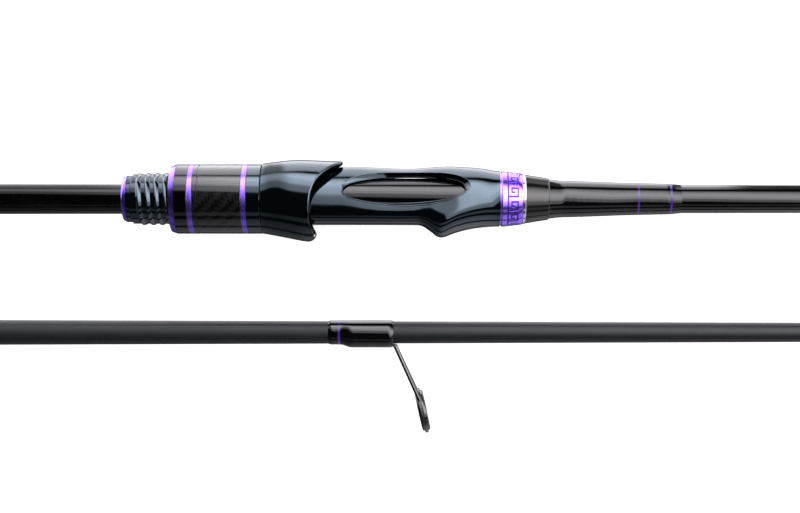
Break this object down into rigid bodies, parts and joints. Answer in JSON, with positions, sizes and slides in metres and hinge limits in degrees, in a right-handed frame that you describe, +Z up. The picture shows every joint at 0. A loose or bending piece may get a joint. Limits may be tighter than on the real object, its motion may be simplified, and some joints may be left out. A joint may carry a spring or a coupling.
{
  "type": "spinning rod",
  "caption": "Two-piece spinning rod laid out in two sections, with a screw-down reel seat, see-through seat body, butt grip and single-foot guides.",
  "frame": {"origin": "middle of the footprint, on the surface the rod lies on", "axes": "+X along both sections towards the tip, -Y the side of the reel and the guides, +Z up from the surface"},
  "size_m": [1.2338, 0.0986, 0.026],
  "materials": {
    "cap_rubber": "matt moulded rubber",
    "foam": "fine closed-cell foam",
    "purple_metal": "anodised, bright",
    "gloss_blank": "clear-coated carbon fibre",
    "matt_blank": "ground carbon fibre with a fine satin coat",
    "arbor": "dull filler",
    "seat_black": "gloss black moulding",
    "carbon_weave": "clear-coated carbon weave",
    "bright_metal": "polished",
    "dark_metal": "dark anodised, polished",
    "thread_wrap": "thread under glossy epoxy",
    "purple_thread": "metallic thread under epoxy",
    "frame_metal": "gunmetal plated",
    "ring_ceramic": "polished ceramic",
    "liner_metal": "satin"
  },
  "bodies": {
    "butt_section": {"butt_cap": "cap_rubber", "butt_grip": "foam", "grip_ring": "purple_metal", "grip_check": "dark_metal", "butt_blank": "gloss_blank", "rear_arbor": "arbor", "window_tube": "gloss_blank", "front_arbor": "arbor", "seat_end_ring": "purple_metal", "seat_barrel": "seat_black", "seat_thread": "seat_black", "seat_body": "seat_black", "gap_ring": "purple_metal", "key_ring": "purple_metal", "bright_ring": "bright_metal", "seat_cone": "dark_metal", "fore_winding": "thread_wrap", "fore_trims": "purple_thread", "stripper_frame": "frame_metal", "stripper_ring": "ring_ceramic", "stripper_winding": "thread_wrap", "stripper_trim": "purple_thread", "spigot_winding": "thread_wrap"},
    "hood": {"hood_shell": "seat_black", "hood_liner": "liner_metal"},
    "nut": {"nut_core": "seat_black", "nut_rear_ring": "purple_metal", "nut_collar": "seat_black", "nut_middle_ring": "purple_metal", "nut_sleeve": "carbon_weave", "nut_fore_ring": "purple_metal", "nut_front_collar": "seat_black"},
    "tip_section": {"tip_blank": "matt_blank", "ferrule_winding": "thread_wrap", "ferrule_trims": "purple_thread", "guide_1_frame": "frame_metal", "guide_2_frame": "frame_metal", "guide_3_frame": "frame_metal", "guide_4_frame": "frame_metal", "guide_5_frame": "frame_metal", "guide_6_frame": "frame_metal", "guide_7_frame": "frame_metal", "guide_1_ring": "ring_ceramic", "guide_2_ring": "ring_ceramic", "guide_3_ring": "ring_ceramic", "guide_4_ring": "ring_ceramic", "guide_5_ring": "ring_ceramic", "guide_6_ring": "ring_ceramic", "guide_7_ring": "ring_ceramic", "guide_1_winding": "thread_wrap", "guide_2_winding": "thread_wrap", "guide_3_winding": "thread_wrap", "guide_4_winding": "thread_wrap", "guide_5_winding": "thread_wrap", "guide_6_winding": "thread_wrap", "guide_7_winding": "thread_wrap", "guide_trims": "purple_thread", "top_tube": "frame_metal", "top_frame": "frame_metal", "top_ring": "ring_ceramic"}
  },
  "joints": [
    {"name": "hood_slide", "type": "slide", "parent": "butt_section", "child": "hood", "axis": [1, 0, 0], "range_m": [-0.012, 0.006]},
    {"name": "nut_spin", "type": "hinge", "parent": "hood", "child": "nut", "pos_m": [-0.35288, 0.03526, 0.013], "axis": [1, 0, 0], "range_deg": [-1360, 680]},
    {"name": "tip_lift", "type": "slide", "parent": "butt_section", "child": "tip_section", "axis": [0, 0, 1], "range_m": [0, 0.15]}
  ],
  "couplings": [
    {"joint": "nut_spin", "follows": "hood_slide", "rad_per_m": 1963.5}
  ]
}
